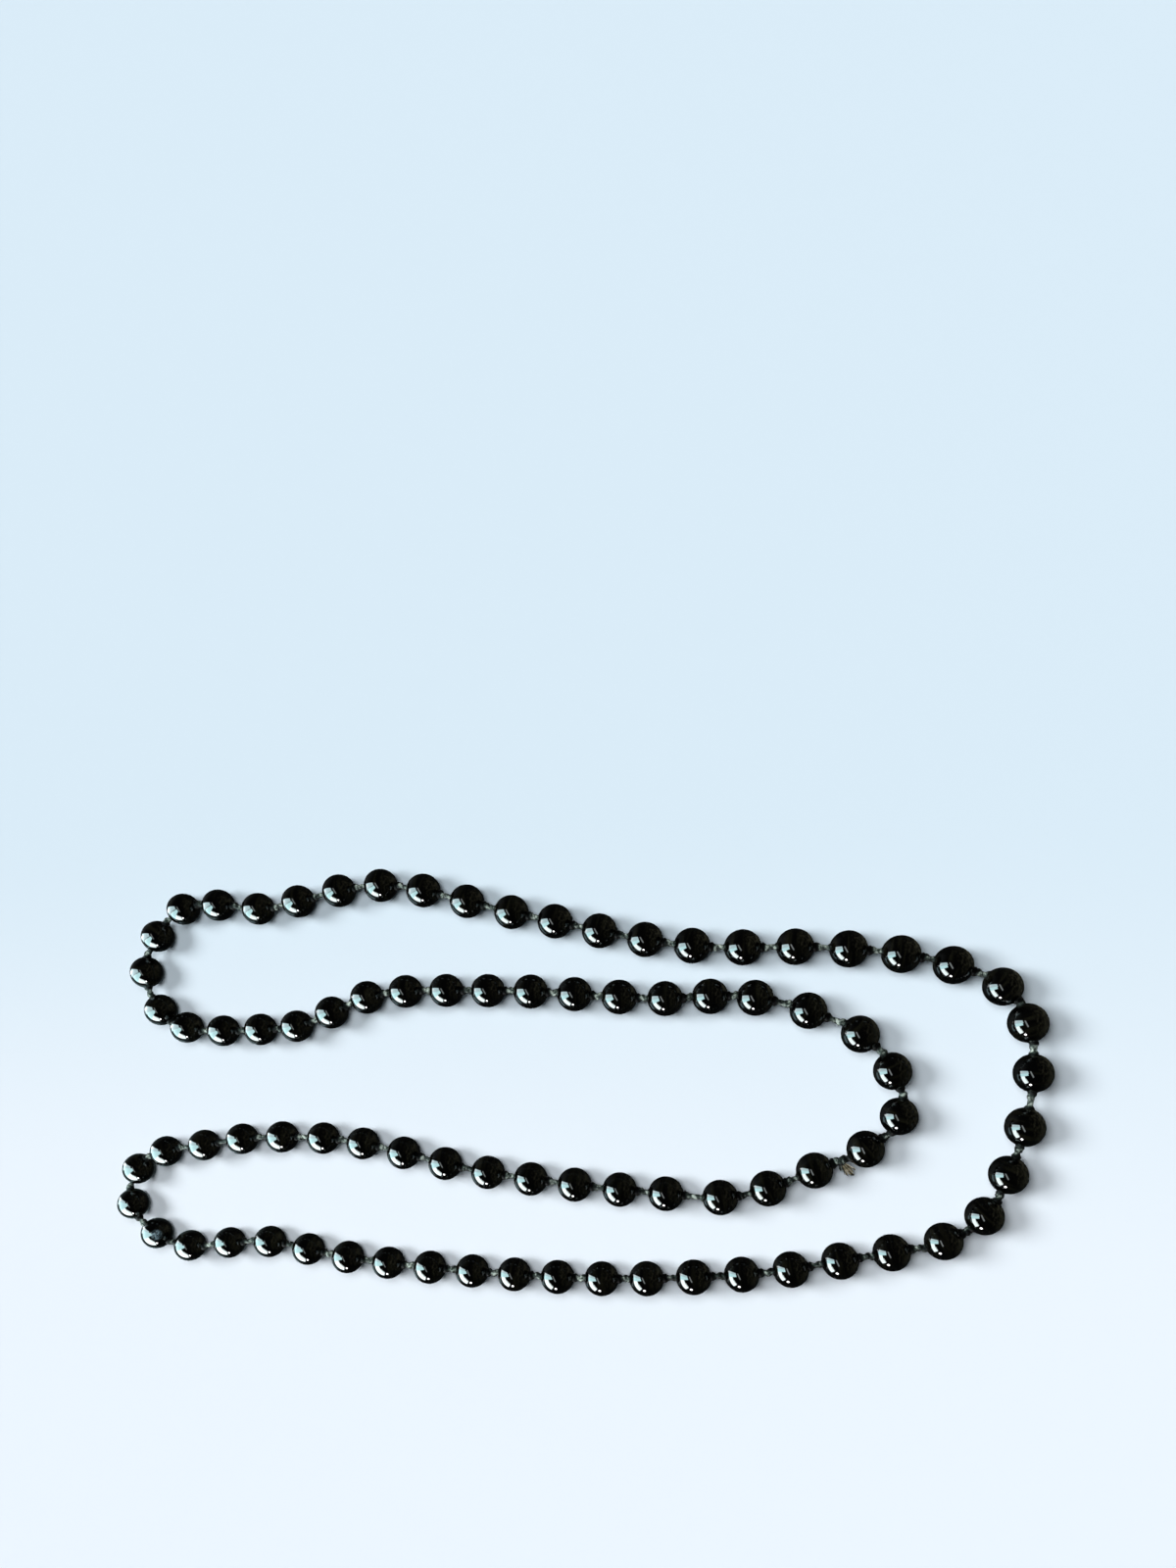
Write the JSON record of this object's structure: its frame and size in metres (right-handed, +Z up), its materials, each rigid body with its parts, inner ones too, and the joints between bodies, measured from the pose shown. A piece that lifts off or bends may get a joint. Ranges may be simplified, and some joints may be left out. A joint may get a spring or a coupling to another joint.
{
  "type": "beaded necklace",
  "caption": "Endless strand of round polished black stone beads, silk thread knotted between the beads, closed by a tie-off knot and lying flat in a long folded loop.",
  "frame": {"origin": "middle of the necklace's outline, on the table that it lies on", "axes": "+X along the long loops towards the wide bend, +Y across them, +Z up from the table"},
  "size_m": [0.232, 0.1032, 0.008],
  "materials": {
    "bead": "black onyx, polished to a mirror gloss",
    "silk": "grey-green twisted silk thread, soft sheen, darker in the knots"
  },
  "bodies": {
    "root": {"bead_string_upper": "bead", "bead_string_lower": "bead", "closing_knot": "silk"}
  },
  "joints": []
}
